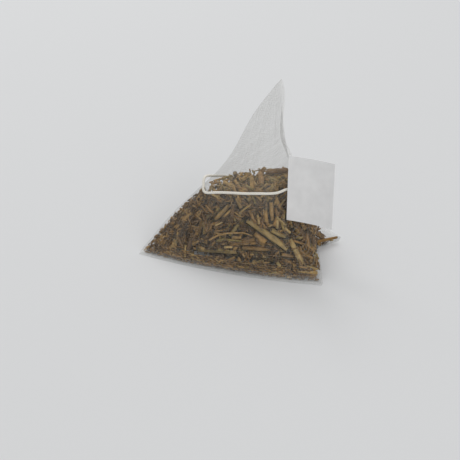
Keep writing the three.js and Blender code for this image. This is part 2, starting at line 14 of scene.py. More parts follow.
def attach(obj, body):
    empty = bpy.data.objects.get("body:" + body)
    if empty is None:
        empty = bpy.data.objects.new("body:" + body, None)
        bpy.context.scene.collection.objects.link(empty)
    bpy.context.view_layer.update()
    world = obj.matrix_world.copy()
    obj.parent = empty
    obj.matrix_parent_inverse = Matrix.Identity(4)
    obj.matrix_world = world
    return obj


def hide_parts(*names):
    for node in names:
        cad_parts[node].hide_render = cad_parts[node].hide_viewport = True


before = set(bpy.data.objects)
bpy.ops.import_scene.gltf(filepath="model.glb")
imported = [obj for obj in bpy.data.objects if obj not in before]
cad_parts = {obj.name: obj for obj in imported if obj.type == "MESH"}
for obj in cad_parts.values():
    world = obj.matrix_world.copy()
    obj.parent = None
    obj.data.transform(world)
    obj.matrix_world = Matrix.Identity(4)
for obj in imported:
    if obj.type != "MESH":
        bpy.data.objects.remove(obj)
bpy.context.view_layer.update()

# Camera: a long lens a forearm away, looking down at 36 degrees, from a little to the right
# of the front weld's middle.
MM = 0.001
view_azimuth = math.radians(15.638)
view_elevation = math.radians(35.708)
view_distance = 340 * MM
view_target = Vector((0.507, -16.254, 18)) * MM
film_width, lens_length = 36, 81.98

back = Vector((
    math.sin(view_azimuth) * math.cos(view_elevation),
    -math.cos(view_azimuth) * math.cos(view_elevation),
    math.sin(view_elevation),
))
camera_data = bpy.data.cameras.new("camera")
camera_data.sensor_width = film_width
camera_data.lens = lens_length
camera_data.clip_start, camera_data.clip_end = 0.01, 20
camera = bpy.data.objects.new("camera", camera_data)
camera.location = view_target + back * view_distance
camera.rotation_euler = (-back).to_track_quat("-Z", "Y").to_euler()
bpy.context.collection.objects.link(camera)
bpy.context.scene.camera = camera


# String: three-ply twisted cotton sewing thread, about 10 cm long. One end is welded to the
# right-hand face; it is wound once round the pouch, and the tag is bonded on its other end.
string_diameter = 0.9
string_plies = 3
string_twist = 2.4              # millimetres of string in one full turn of the plies
string_step = 0.2
string_sides = 18
ply_root, ply_bulge = 0.66, 0.38    # of the radius, in the groove and on top of a ply
fibres_around, fibres_along = 6, 500
fibre_relief = 0.06
string_route = [
    (25.0, 2.0, 15.1), (24.3, 4.1, 15.1), (23.4, 6.5, 15.1), (22.9, 8.9, 14.8),
    (22.8, 11.3, 14.5), (23.0, 13.2, 14.5), (22.4, 14.9, 14.5), (21.3, 15.2, 14.6),
    (20.3, 13.9, 14.6), (18.9, 12.5, 14.8), (16.4, 11.5, 15.0), (12.6, 10.8, 15.9),
    (8.6, 10.1, 17.6), (4.7, 9.4, 19.2), (0.6, 8.5, 20.8), (-3.3, 7.6, 22.4),
    (-7.3, 5.7, 23.8), (-10.1, 2.7, 25.3), (-12.0, -0.3, 26.8), (-12.3, -1.7, 27.0),
    (-12.4, -2.8, 26.3), (-12.1, -3.8, 25.3), (-12.0, -4.6, 24.5), (-11.3, -5.4, 23.8),
    (-10.1, -5.8, 23.9), (-8.7, -6.0, 24.3), (-6.6, -6.2, 24.9), (-1.6, -6.3, 25.7),
    (2.6, -6.3, 26.2), (7.7, -5.7, 26.7), (9.9, -5.0, 26.6), (11.6, -4.1, 26.4),
    (12.9, -3.0, 26.2), (13.9, -1.8, 26.1), (15.2, -0.2, 26.1), (16.8, 0.3, 26.2),
    (18.5, 0.0, 26.3), (20.3, -1.0, 26.4),
]


def linear(colour):
    """A colour written as an sRGB hex value, in the linear values that a socket takes."""
    channels = [int(colour[k:k + 2], 16) / 255 for k in (1, 3, 5)]
    return [c / 12.92 if c <= 0.04045 else ((c + 0.055) / 1.055) ** 2.4 for c in channels] + [1]


def add_node(tree, kind, inputs=(), **settings):
    """A node with its settings and its inputs, each a value or another node's output."""
    made = tree.nodes.new(kind)
    for name, value in settings.items():
        setattr(made, name, value)
    for socket, value in dict(inputs).items():
        if isinstance(value, bpy.types.NodeSocket):
            tree.links.new(value, made.inputs[socket])
        else:
            made.inputs[socket].default_value = value
    return made


def new_material(name):
    """A material with only its output, and its node tree."""
    material = bpy.data.materials.new(name)
    material.use_nodes = True
    material.node_tree.nodes.clear()
    return material, material.node_tree


def finish_material(tree, shader):
    """Links the shader to the material's output."""
    add_node(tree, "ShaderNodeOutputMaterial", {"Surface": shader.outputs[0]})


def set_ramp(ramp, stops):
    """Colour stops of a ramp node, each a place and an sRGB hex value."""
    elements = ramp.color_ramp.elements
    while len(elements) > 1:
        elements.remove(elements[-1])
    for k, (place, colour) in enumerate(stops):
        stop = elements[0] if k == 0 else elements.new(place)
        stop.position = place
        stop.color = linear(colour)


def piece_from(name, points, faces, material, smooth=True):
    """A mesh piece at the origin, from points in millimetres."""
    mesh = bpy.data.meshes.new(name)
    mesh.from_pydata((np.asarray(points, float) * MM).tolist(), [], faces)
    mesh.polygons.foreach_set("use_smooth", [smooth] * len(mesh.polygons))
    mesh.materials.append(material)
    made = bpy.data.objects.new(name, mesh)
    bpy.context.collection.objects.link(made)
    return made


def apply_modifiers(piece):
    """Selects only this piece and applies its modifiers in order."""
    bpy.ops.object.select_all(action="DESELECT")
    piece.select_set(True)
    bpy.context.view_layer.objects.active = piece
    for modifier in list(piece.modifiers):
        bpy.ops.object.modifier_apply(modifier=modifier.name)


def smooth_route(route, step):
    """Evenly spaced points on the centripetal Catmull-Rom curve through a route, and its
    length."""
    parts = 24                      # pieces of the curve between two points of the route
    knots = np.asarray(route, float)
    knots = np.vstack([2 * knots[0] - knots[1], knots, 2 * knots[-1] - knots[-2]])
    fine = []
    for a, b, c, d in zip(knots, knots[1:], knots[2:], knots[3:]):
        t0, t1 = 0, np.linalg.norm(b - a) ** 0.5
        t2 = t1 + np.linalg.norm(c - b) ** 0.5
        t3 = t2 + np.linalg.norm(d - c) ** 0.5
        t = np.linspace(t1, t2, parts, endpoint=False)[:, None]
        ab = (t1 - t) / (t1 - t0) * a + (t - t0) / (t1 - t0) * b
        bc = (t2 - t) / (t2 - t1) * b + (t - t1) / (t2 - t1) * c
        cd = (t3 - t) / (t3 - t2) * c + (t - t2) / (t3 - t2) * d
        left = (t2 - t) / (t2 - t0) * ab + (t - t0) / (t2 - t0) * bc
        right = (t3 - t) / (t3 - t1) * bc + (t - t1) / (t3 - t1) * cd
        fine.append((t2 - t) / (t2 - t1) * left + (t - t1) / (t2 - t1) * right)
    fine = np.vstack(fine + [knots[-2]])
    reach = np.concatenate([[0], np.cumsum(np.linalg.norm(np.diff(fine, axis=0), axis=1))])
    places = np.linspace(0, reach[-1], int(reach[-1] / step) + 1)
    return np.stack([np.interp(places, reach, fine[:, k]) for k in range(3)], 1), reach[-1]


def tube_faces(rings, sides):
    """Faces of a tube that is closed at both ends, from its rings of points."""
    faces = []
    for k in range(rings - 1):
        for n in range(sides):
            m = (n + 1) % sides
            a, b = k * sides, (k + 1) * sides
            faces.append((a + n, a + m, b + m, b + n))
    faces.append(tuple(range(sides - 1, -1, -1)))
    faces.append(tuple(range((rings - 1) * sides, rings * sides)))
    return faces


def cotton_material():
    # Mercerised cotton: matt fibres, off-white, with painted shade that darkens the grooves between
    # the plies
    material, tree = new_material("twisted_cotton")
    place = add_node(tree, "ShaderNodeTexCoord")
    scaled = add_node(tree, "ShaderNodeMapping", {
        "Vector": place.outputs["UV"], "Scale": (fibres_around, fibres_along, 1)})
    fibre = add_node(tree, "ShaderNodeTexNoise", {
        "Vector": scaled.outputs[0], "Scale": 1.0, "Detail": 3.0, "Roughness": 0.6})
    groove = add_node(tree, "ShaderNodeAttribute", attribute_name="groove")
    # Painted shade: the colour darkens where the groove value is low, between the plies
    shade = add_node(tree, "ShaderNodeMath", {
        0: groove.outputs["Fac"], 1: fibre.outputs[0]}, operation="MULTIPLY_ADD")
    shade.inputs[2].default_value = 0.0
    colour = add_node(tree, "ShaderNodeValToRGB", {"Fac": shade.outputs[0]})
    set_ramp(colour, [(0.0, "#c6c0b2"), (0.35, "#ece8de"), (0.7, "#f8f6ef")])
    bump = add_node(tree, "ShaderNodeBump", {
        "Height": fibre.outputs[0], "Strength": 0.5, "Distance": fibre_relief * MM})
    shader = add_node(tree, "ShaderNodeBsdfPrincipled", {
        "Base Color": colour.outputs["Color"], "Roughness": 0.85, "Sheen Weight": 0.3,
        "Normal": bump.outputs[0]})
    finish_material(tree, shader)
    return material


string_line, string_length = smooth_route(string_route, string_step)
string_points, string_groove_shade = [], []
across = Vector((0, 0, 1))
for k, place in enumerate(string_line):
    forward = Vector(string_line[min(k + 1, len(string_line) - 1)]
                     - string_line[max(k - 1, 0)]).normalized()
    across = (across - forward * across.dot(forward)).normalized()
    other = forward.cross(across)
    twist = 2 * math.pi * k * string_step / string_twist
    for n in range(string_sides):
        angle = 2 * math.pi * n / string_sides
        lobe = abs(math.cos(string_plies / 2 * (angle - twist)))
        reach = string_diameter / 2 * (ply_root + ply_bulge * lobe ** 0.7)
        offset = across * math.cos(angle) + other * math.sin(angle)
        string_points.append(Vector(place) + offset * reach)
        string_groove_shade.append(lobe)
cotton_string = piece_from(
    "cotton_string", string_points, tube_faces(len(string_line), string_sides), cotton_material())
string_mesh = cotton_string.data
string_uv = string_mesh.uv_layers.new(name="UVMap")
for face in string_mesh.polygons:
    turns = {v % string_sides for v in face.vertices}
    wraps = face.loop_total == 4 and turns >= {0, string_sides - 1}
    for loop in face.loop_indices:
        vertex = string_mesh.loops[loop].vertex_index
        around = vertex % string_sides
        share = 1 if wraps and around == 0 else around / string_sides
        string_uv.data[loop].uv = (share, (vertex // string_sides) / len(string_line))
string_mesh.attributes.new("groove", "FLOAT", "POINT").data.foreach_set("value", string_groove_shade)
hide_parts("string")
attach(cotton_string, "root")


# Tag: a blank label of white uncoated paper, folded double and bonded round the string's
# end. It leans on the pouch's right-hand side, a little bowed across its width.
tag_width, tag_height, tag_thickness = 17.2, 21.8, 0.3
tag_curl, tag_ripple = 0.9, 0.12
clouds, felt_fibres = 0.26, 2.6     # of the paper's clouding and its felt, to the millimetre
felt_relief = 0.04
tag_middle = (24.2, -3.3, 28.7)
tag_turn = {"Z": -20.7, "X": -14.9, "Y": -9.5}     # degrees, the last is turned first


def paper_material():
    # Uncoated white paper: matt, with faint clouding and a fine felt of fibres
    material, tree = new_material("uncoated_paper")
    place = add_node(tree, "ShaderNodeTexCoord")
    cloud = add_node(tree, "ShaderNodeTexNoise", {
        "Vector": place.outputs["Object"], "Scale": clouds / MM, "Detail": 2.0})
    felt = add_node(tree, "ShaderNodeTexNoise", {
        "Vector": place.outputs["Object"], "Scale": felt_fibres / MM, "Detail": 3.0,
        "Roughness": 0.7})
    colour = add_node(tree, "ShaderNodeValToRGB", {"Fac": cloud.outputs[0]})
    set_ramp(colour, [(0.3, "#e9e9e9"), (0.7, "#f1f1f1")])
    bump = add_node(tree, "ShaderNodeBump", {
        "Height": felt.outputs[0], "Strength": 0.25, "Distance": felt_relief * MM})
    shader = add_node(tree, "ShaderNodeBsdfPrincipled", {
        "Base Color": colour.outputs["Color"], "Roughness": 0.7, "Normal": bump.outputs[0]})
    finish_material(tree, shader)
    return material


bpy.ops.object.select_all(action="DESELECT")
bpy.ops.mesh.primitive_grid_add(x_subdivisions=24, y_subdivisions=30, size=1)
paper_tag = bpy.context.object
paper_tag.name = "paper_tag"
tag_place = Matrix.Translation(Vector(tag_middle) * MM)
for axis, angle in tag_turn.items():
    tag_place = tag_place @ Matrix.Rotation(math.radians(angle), 4, axis)
for vertex in paper_tag.data.vertices:
    across_share, up_share = 2 * vertex.co.x, 2 * vertex.co.y
    ripple = tag_ripple * noise.noise(Vector((across_share * 1.3, up_share * 1.1, 3.0)))
    bow = -tag_curl * (across_share ** 2 - 0.33) + ripple
    vertex.co = Vector((across_share * tag_width / 2, bow, up_share * tag_height / 2)) * MM
paper_tag.data.transform(tag_place)
paper_tag.data.materials.append(paper_material())
for face in paper_tag.data.polygons:
    face.use_smooth = True
solid = paper_tag.modifiers.new("thickness", "SOLIDIFY")
solid.thickness, solid.offset = tag_thickness * MM, 0
apply_modifiers(paper_tag)
bpy.ops.object.shade_smooth_by_angle(angle=math.radians(40))
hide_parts("tag")
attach(paper_tag, "root")


# Pouch: one tube of woven nylon monofilament mesh, 64 mm wide when flat, welded shut at the
# front along the floor and at the rear upright, so that its four faces close to a pyramid.
flat_width = 64
front_seal, rear_seal = 1.4, 2.6
seal_thickness = 0.4
mesh_thickness = 0.13
upright_foot = np.array([64.6, 26, 0])
apex = np.array([41.4, 25.6, 59])
weld_bow = 7.2
front_belly, back_belly = 4.5, 4                   # how far these faces swell
front_weld_bow = 2.4    # how far the front weld bows out at its middle
front_slack, lower_slack, lower_lift, left_slack = 9, 8, 3, 3.8     # of the folds, inwards
frame_middle = np.array([32.4928, 14.2842, 0])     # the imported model's origin, in the formula
columns, rows = 256, 64                            # the folds run along the grid's diagonals
band_rows = 6
band_sideways = 0.15                               # lean of the upright weld's band
thread_pitch = 0.5      # the real threads are 0.25 mm apart, too fine to show
thread_gap = 0.12       # of the pitch, on each side of a thread
mesh_haze = 0.012       # share of light that each side of a wall stops between the threads
weld_haze = 0.03        # and how much more in the welded bands and the tube's overlap
upper_haze = 0.04        # and how much more higher up, over the fill
warp_cover, weft_cover = (0.03, 0.11), (0.02, 0.05)     # and on a thread, least and most
warp_seed, weft_seed = 3.0, 71.0
upper_haze_from, upper_haze_to = 17, 26                        # heights between which this extra haze begins
overlap_place, overlap_width = 0.75, 2.2           # along the tube's back, in millimetres

along = np.array([1.0, 0, 0])
upright = (apex - upright_foot) / np.linalg.norm(apex - upright_foot)
upright_length = np.linalg.norm(apex - upright_foot)
front_middle = np.array([flat_width / 2, front_seal, seal_thickness / 2 * upright[2]])
rear_middle = (apex + upright_foot) / 2


def plane_normal(first, second, towards):
    """Unit normal of the plane of two directions, on the side of a third."""
    normal = np.cross(first, second)
    normal /= np.linalg.norm(normal)
    return normal * np.sign(normal @ np.asarray(towards, float))


front_normal = plane_normal(along, apex, (0, -1, 0))
back_normal = plane_normal(upright_foot, apex, (0, 1, 0))
front_right = np.array([flat_width, front_seal, 0])
right_normal = plane_normal(upright_foot - front_right, apex - front_right, (1, 0, 0))
inset = {
    "right": 1 / abs(along @ right_normal), "left": 1 / abs(along @ back_normal),
    "up": 1 / abs(upright @ front_normal), "down": 1 / upright[2],
}


def arch(share):
    """A rise from 0 to 1 and back to 0, as the share goes from 0 to 1."""
    return np.sin(np.pi * np.clip(share, 0, 1))


def weld_bow_share(y, s):
    """Bow of the upright weld at y: none at the apex, full at two fifths of the way down, and
    half near the foot, where the corner turns out again."""
    down = (1 - y) / 2
    start = np.clip(down / 0.4, 0, 1)
    start = start * start * (3 - 2 * start)
    fading = 1 - 0.5 * np.maximum(down - 0.4, 0) / 0.6
    return start * fading * (1 - down ** (4 + 36 * s ** 8)) * s * s


def pouch_point(x, y, s, depth=0.0):
    """Points of the pouch: x and y from -1 to 1 across the rectangle that the tube makes at
    the share s of the way from the front weld to the upright one, depth under the skin."""
    x, y, s, depth = np.broadcast_arrays(*[np.asarray(v, float) for v in (x, y, s, depth)])
    half_front = flat_width / 2 * (1 - s) + seal_thickness / 2 * s
    half_upright = seal_thickness / 2 * (1 - s) + upright_length / 2 * s
    in_front = depth * np.where(x > 0, inset["right"], inset["left"])
    in_upright = depth * np.where(y > 0, inset["up"], inset["down"])
    up, left = (1 + y) / 2, (1 - x) / 2
    near_right = np.maximum(x, 0) ** 2
    belly = front_belly * (1 - x * x) * up * arch(s ** 0.75) * (1 - 0.5 * s)
    swell = back_belly * (1 - y * y) * left * arch(s) * (1 - 0.3 * y)
    front_fold = near_right * np.maximum(y, 0) ** 2 * arch(s ** 0.8)
    lower_fold = near_right * np.maximum(-y, 0) ** 2 * arch(s)
    left_fold = np.maximum(-x, 0) ** 2 * np.maximum(y, 0) ** 2 * arch(s ** 1.15) ** 4
    bow = weld_bow * weld_bow_share(y, s)
    point = front_middle + (rear_middle - front_middle) * s[..., None]
    point = point + along * ((half_front - in_front) * x)[..., None]
    point = point + upright * ((half_upright - in_upright) * y)[..., None]
    point = point + front_normal * belly[..., None] + back_normal * swell[..., None]
    point[..., 1] -= front_weld_bow * (1 - x * x) * (1 - s) ** 4
    point = point + np.stack([
        left_slack * left_fold - front_slack * front_fold - lower_slack * lower_fold - bow,
        0.3 * front_slack * front_fold, lower_lift * lower_fold], -1)
    return point - frame_middle


def tube_coordinates(i, row):
    """Place on the rectangle of column i at a row, counted round the tube."""
    half = columns / 2
    front_span, side_span = half - 2 * row, 2 * row
    if row == 0:
        x = np.where(i <= half, -1 + 2 * i / half, 3 - 2 * i / half)
        return x, np.where(i % half == 0, 0, np.where(i < half, 1, -1))
    if row == rows:
        k = (i - columns / 4) % columns
        y = np.where(k <= half, 1 - 2 * k / half, -3 + 2 * k / half)
        return np.where(k % half == 0, 0, np.where(k < half, 1, -1)), y
    turn = (i - row) % columns
    ends = np.cumsum([front_span, side_span, front_span, side_span])
    x = np.select([turn <= ends[0], turn <= ends[1], turn <= ends[2]], [
        -1 + 2 * turn / front_span, 1.0, 1 - 2 * (turn - ends[1]) / front_span], -1.0)
    y = np.select([turn <= ends[0], turn <= ends[1], turn <= ends[2]], [
        1.0, 1 - 2 * (turn - ends[0]) / side_span, -1.0], -1 + 2 * (turn - ends[2]) / side_span)
    return x, y


def nylon_material():
    # Clear nylon 6 monofilament, 0.05 mm thick: light threads with open squares between them,
    # so one wall hides only a tenth of what lies behind it, or a sixth over the fill. The
    # threads vary a little from one to the next, which shows as fine streaks.
    material, tree = new_material("nylon_mesh")
    place = add_node(tree, "ShaderNodeTexCoord")
    parts = add_node(tree, "ShaderNodeSeparateXYZ", {"Vector": place.outputs["UV"]})

    def threads(share, count, seed, least, most):
        """Cover of one set of threads, from nothing between two threads to its own share of
        light stopped on the middle of each."""
        turn = add_node(tree, "ShaderNodeMath", {0: share, 1: float(count)}, operation="MULTIPLY")
        number = add_node(tree, "ShaderNodeMath", {0: turn.outputs[0]}, operation="FLOOR")
        chance = add_node(tree, "ShaderNodeTexWhiteNoise", {
            "Vector": (seed, 0, 0), "W": number.outputs[0]}, noise_dimensions="4D")
        wave = add_node(tree, "ShaderNodeMath", {0: turn.outputs[0], 1: 0.5}, operation="PINGPONG")
        profile = add_node(tree, "ShaderNodeMapRange", {
            "Value": wave.outputs[0], "From Min": thread_gap, "From Max": 0.5,
        }, interpolation_type="SMOOTHSTEP")
        strength = add_node(tree, "ShaderNodeMapRange", {
            "Value": chance.outputs["Value"], "To Min": least, "To Max": most})
        return add_node(tree, "ShaderNodeMath", {
            0: profile.outputs[0], 1: strength.outputs[0]}, operation="MULTIPLY").outputs[0]

    warp = threads(parts.outputs["X"], 2 * flat_width / thread_pitch, warp_seed, *warp_cover)
    weft = threads(parts.outputs["Y"], mesh_height / thread_pitch, weft_seed, *weft_cover)
    woven = add_node(tree, "ShaderNodeMath", {0: warp, 1: weft}, operation="ADD")
    rise = add_node(tree, "ShaderNodeSeparateXYZ", {"Vector": place.outputs["Object"]})
    haze = add_node(tree, "ShaderNodeMapRange", {
        "Value": rise.outputs["Z"], "From Min": upper_haze_from * MM, "From Max": upper_haze_to * MM,
        "To Min": mesh_haze, "To Max": mesh_haze + upper_haze}, interpolation_type="SMOOTHSTEP")
    hazy = add_node(tree, "ShaderNodeMath", {
        0: woven.outputs[0], 1: haze.outputs[0]}, operation="ADD")
    middle = add_node(tree, "ShaderNodeMath", {0: parts.outputs["Y"], 1: 0.5}, operation="SUBTRACT")
    height = add_node(tree, "ShaderNodeMath", {0: middle.outputs[0]}, operation="ABSOLUTE")
    weld = add_node(tree, "ShaderNodeMapRange", {
        "Value": height.outputs[0], "From Min": 0.5 - rear_seal / mesh_height,
        "From Max": 0.5 - 0.8 * rear_seal / mesh_height, "To Max": weld_haze})
    overlap_side = add_node(tree, "ShaderNodeMath", {
        0: parts.outputs["X"], 1: overlap_place}, operation="SUBTRACT")
    overlap_gap = add_node(tree, "ShaderNodeMath", {
        0: overlap_side.outputs[0]}, operation="ABSOLUTE")
    overlap = add_node(tree, "ShaderNodeMapRange", {
        "Value": overlap_gap.outputs[0], "From Min": overlap_width / 4 / flat_width,
        "From Max": overlap_width / 5 / flat_width, "To Max": weld_haze})
    joined = add_node(tree, "ShaderNodeMath", {
        0: weld.outputs[0], 1: overlap.outputs[0]}, operation="MAXIMUM")
    cover = add_node(tree, "ShaderNodeMath", {
        0: hazy.outputs[0], 1: joined.outputs[0]}, operation="ADD")
    # Painted highlight: the welded bands and the tube's overlap take a paler thread colour
    seam_highlight = add_node(tree, "ShaderNodeMapRange", {
        "Value": joined.outputs[0], "From Max": weld_haze})
    tone = add_node(tree, "ShaderNodeValToRGB", {"Fac": seam_highlight.outputs[0]})
    set_ramp(tone, [(0.0, "#b8b7b1"), (1.0, "#dededa")])
    shader = add_node(tree, "ShaderNodeBsdfPrincipled", {
        "Base Color": tone.outputs["Color"], "Roughness": 0.4, "IOR": 1.53,
        "Alpha": cover.outputs[0]})
    finish_material(tree, shader)
    return material


mesh_height = np.linalg.norm(rear_middle - front_middle) + front_seal + rear_seal
front_band = np.array([0, -front_seal, 0])
rear_band = np.array([band_sideways, 1, 0]) / math.hypot(band_sideways, 1) * rear_seal
column_numbers = np.arange(columns)
rings, ring_heights = [], []
for k in range(band_rows, 0, -1):
    x, y = tube_coordinates(column_numbers, 0)
    rings.append(pouch_point(x, y, 0) + front_band * k / band_rows)
    ring_heights.append(front_seal * (1 - k / band_rows))
for row in range(rows + 1):
    x, y = tube_coordinates(column_numbers, row)
    rings.append(pouch_point(x, y, row / rows))
    ring_heights.append(front_seal + (mesh_height - front_seal - rear_seal) * row / rows)
for k in range(1, band_rows + 1):
    rings.append(rings[band_rows + rows] + rear_band * k / band_rows)
    ring_heights.append(mesh_height - rear_seal * (1 - k / band_rows))
skin_points = np.vstack(rings)
skin_points[:, 2] = np.maximum(skin_points[:, 2], 0.0)
skin_faces, skin_uv = [], []
quarter = columns // 4
for ring in range(len(rings) - 1):
    low, high = ring * columns, (ring + 1) * columns
    for i in range(columns):
        j = (i + 1) % columns
        corners = {"a": (low + i, i, ring), "b": (low + j, i + 1, ring),
                   "c": (high + j, i + 1, ring + 1), "d": (high + i, i, ring + 1)}
        forward = i < quarter or 2 * quarter <= i < 3 * quarter
        for names in ("abc", "acd") if forward else ("abd", "bcd"):
            skin_faces.append([corners[n][0] for n in names])
            skin_uv += [(corners[n][1] / columns, ring_heights[corners[n][2]] / mesh_height)
                        for n in names]
mesh_pouch = piece_from("nylon_pouch", skin_points, skin_faces, nylon_material())
mesh_pouch.data.uv_layers.new(name="UVMap").data.foreach_set("uv", np.ravel(skin_uv))
skin_tree = BVHTree.FromObject(mesh_pouch, bpy.context.evaluated_depsgraph_get())
solid = mesh_pouch.modifiers.new("thickness", "SOLIDIFY")
solid.thickness, solid.offset, solid.use_rim = mesh_thickness * MM, -1, True
apply_modifiers(mesh_pouch)
bpy.ops.object.shade_smooth_by_angle(angle=math.radians(35))
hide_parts("mesh_pouch")
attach(mesh_pouch, "root")


# Big stems: twigs of the tea bush, cut short and roasted. The bark is brown to olive with
# long ridges and a knot, and the sawn ends show the plain wood.
stem_sides, stem_rings = 10, 7
front_stem_count = 11           # those under the front face come first
front_tint, other_tint = 1.0, 0.7                       # the palest of each
tint_spread = 0.55
ridge_height, wrinkle_height, knot_height = 0.10, 0.14, 0.22    # of a twig's radius
end_rim, end_hollow = 0.35, 0.05                        # of a sawn end, of its radius
knot_width, twig_taper, twig_bend = 0.12, 0.10, 0.5     # of half a twig's length, and its radius
bark_around, bark_along = 9, 1.4                        # stretch of the fibres
bark_blotches, bark_relief = 0.42, 0.15                 # to the millimetre, and in millimetres


def twig_material():
    # Roasted bark and wood: matt, with fibres along the twig, each twig with its own tone
    material, tree = new_material("roasted_twig")
    place = add_node(tree, "ShaderNodeTexCoord")
    fine = add_node(tree, "ShaderNodeMapping", {
        "Vector": place.outputs["UV"], "Scale": (bark_around, bark_along, 1)})
    fibre = add_node(tree, "ShaderNodeTexNoise", {
        "Vector": fine.outputs[0], "Scale": 1.6, "Detail": 4.0, "Roughness": 0.65})
    blotch = add_node(tree, "ShaderNodeTexNoise", {
        "Vector": place.outputs["Object"], "Scale": bark_blotches / MM, "Detail": 2.0})
    tint = add_node(tree, "ShaderNodeAttribute", attribute_name="tint")
    cut = add_node(tree, "ShaderNodeAttribute", attribute_name="cut")
    tone = add_node(tree, "ShaderNodeValToRGB", {"Fac": tint.outputs["Fac"]})
    set_ramp(tone, [(0.0, "#46311a"), (0.25, "#6e5029"), (0.5, "#94703c"), (0.7, "#b08d52"),
                    (0.85, "#8a763c"), (1.0, "#c4a56c")])
    streak = add_node(tree, "ShaderNodeMath", {
        0: fibre.outputs[0], 1: blotch.outputs[0]}, operation="ADD")
    value = add_node(tree, "ShaderNodeMapRange", {
        "Value": streak.outputs[0], "From Min": 0.7, "From Max": 1.3, "To Min": 0.55,
        "To Max": 1.35})
    bark = add_node(tree, "ShaderNodeHueSaturation", {
        "Color": tone.outputs["Color"], "Value": value.outputs[0]})
    wood = add_node(tree, "ShaderNodeMix", {
        "Factor": cut.outputs["Fac"], "A": bark.outputs["Color"],
        "B": linear("#8a744c")}, data_type="RGBA")
    bump = add_node(tree, "ShaderNodeBump", {
        "Height": fibre.outputs[0], "Strength": 0.6, "Distance": bark_relief * MM})
    shader = add_node(tree, "ShaderNodeBsdfPrincipled", {
        "Base Color": wood.outputs["Result"], "Roughness": 0.72, "Normal": bump.outputs[0]})
    finish_material(tree, shader)
    return material


def carve_twig(name, sides, ring_count, seed, rounds):
    """A model twig of radius 1 and half length 1 along Z: a cylinder with sawn ends, cut in
    rings, then ridged, swollen and bent."""
    bpy.ops.object.select_all(action="DESELECT")
    bpy.ops.mesh.primitive_cylinder_add(vertices=sides, radius=1, depth=2)
    twig = bpy.context.object
    twig.name = name
    bpy.ops.object.mode_set(mode="EDIT")
    bpy.ops.mesh.select_mode(type="EDGE")
    bpy.ops.mesh.select_all(action="DESELECT")
    shape = bmesh.from_edit_mesh(twig.data)
    for edge in shape.edges:
        edge.select = abs(edge.verts[0].co.z - edge.verts[1].co.z) > 1
    bpy.ops.mesh.subdivide(number_cuts=ring_count)
    bpy.ops.mesh.select_mode(type="FACE")
    bpy.ops.mesh.select_all(action="DESELECT")
    shape = bmesh.from_edit_mesh(twig.data)
    for face in shape.faces:
        face.select = abs(face.normal.z) > 0.9
    bpy.ops.mesh.inset(thickness=end_rim, depth=-end_hollow)
    bpy.ops.object.mode_set(mode="OBJECT")
    phase = Vector((seed * 7.3, seed * 3.1, seed * 1.7))
    slant = 0.35 * noise.noise(phase)
    swelling = 0.7 * noise.noise(phase * 2)
    bend = noise.noise(phase * 3)
    cut = []
    for vertex in twig.data.vertices:
        x, y, z = vertex.co
        angle = math.atan2(y, x)
        near = math.hypot(x, y)
        cut.append(1.0 if near < 0.9 else 0.0)
        ridge = 1 + ridge_height * math.sin(3 * angle + seed) + wrinkle_height * noise.noise(
            Vector((x * 1.5, y * 1.5, z * 2.5)) + phase)
        knot = 1 + knot_height * math.exp(-((z - swelling) / knot_width) ** 2)
        taper = 1 - twig_taper * z
        vertex.co.x = x * ridge * knot * taper + bend * (1 - z * z) * twig_bend
        vertex.co.y = y * ridge * knot * taper
        vertex.co.z = z * (1 + slant * x * 0.1)
    twig.data.attributes.new("cut", "FLOAT", "POINT").data.foreach_set("value", cut)
    layer = twig.data.uv_layers.active
    for face in twig.data.polygons:
        angles = [math.atan2(twig.data.vertices[v].co.y, twig.data.vertices[v].co.x)
                  for v in face.vertices]
        for loop, vertex, angle in zip(face.loop_indices, face.vertices, angles):
            if max(angles) - min(angles) > math.pi and angle < 0:
                angle += 2 * math.pi
            layer.data[loop].uv = (angle / (2 * math.pi) + seed, twig.data.vertices[vertex].co.z)
    if rounds:
        twig.modifiers.new("rounding", "SUBSURF").levels = rounds
        twig.modifiers["rounding"].render_levels = rounds
        apply_modifiers(twig)
    for face in twig.data.polygons:
        face.use_smooth = True
    return twig


def place_rod(start, end, radius, roll):
    """Matrix that lays a model twig from start to end, in metres."""
    start, end = Vector(start), Vector(end)
    turn = (end - start).to_track_quat("Z", "Y").to_matrix().to_4x4()
    size = Matrix.Diagonal((radius, radius, (end - start).length / 2, 1))
    return Matrix.Translation((start + end) / 2) @ turn @ Matrix.Rotation(roll, 4, "Z") @ size


twig = twig_material()
big_twigs = [carve_twig(f"twig_{k}", stem_sides, stem_rings, k + 1, 1) for k in range(6)]
luck = np.random.default_rng(7)
rods = []
stem_nodes = sorted(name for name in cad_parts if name.startswith("stem_"))
for k, node_name in enumerate(stem_nodes):
    corners = np.array([v.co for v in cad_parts[node_name].data.vertices])
    middle = corners.mean(0)
    axis = np.linalg.svd(corners - middle, full_matrices=False)[2][0]
    reach = (corners - middle) @ axis
    radius = np.linalg.norm((corners - middle) - np.outer(reach, axis), axis=1).max()
    start, end = middle + axis * reach.min(), middle + axis * reach.max()
    cut_stem = big_twigs[k % len(big_twigs)].copy()
    cut_stem.data = cut_stem.data.copy()
    cut_stem.name = f"cut_stem_{k + 1:02d}"
    bpy.context.collection.objects.link(cut_stem)
    cut_stem.data.transform(place_rod(start, end, radius, luck.uniform(0, 6.28)))
    cut_stem.data.materials.append(twig)
    palest = front_tint if k < front_stem_count else other_tint
    tint = [float(luck.uniform(palest - tint_spread, palest))] * len(cut_stem.data.vertices)
    cut_stem.data.attributes.new("tint", "FLOAT", "POINT").data.foreach_set("value", tint)
    rods.append((start / MM, end / MM, radius / MM))
    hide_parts(node_name)
    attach(cut_stem, "root")


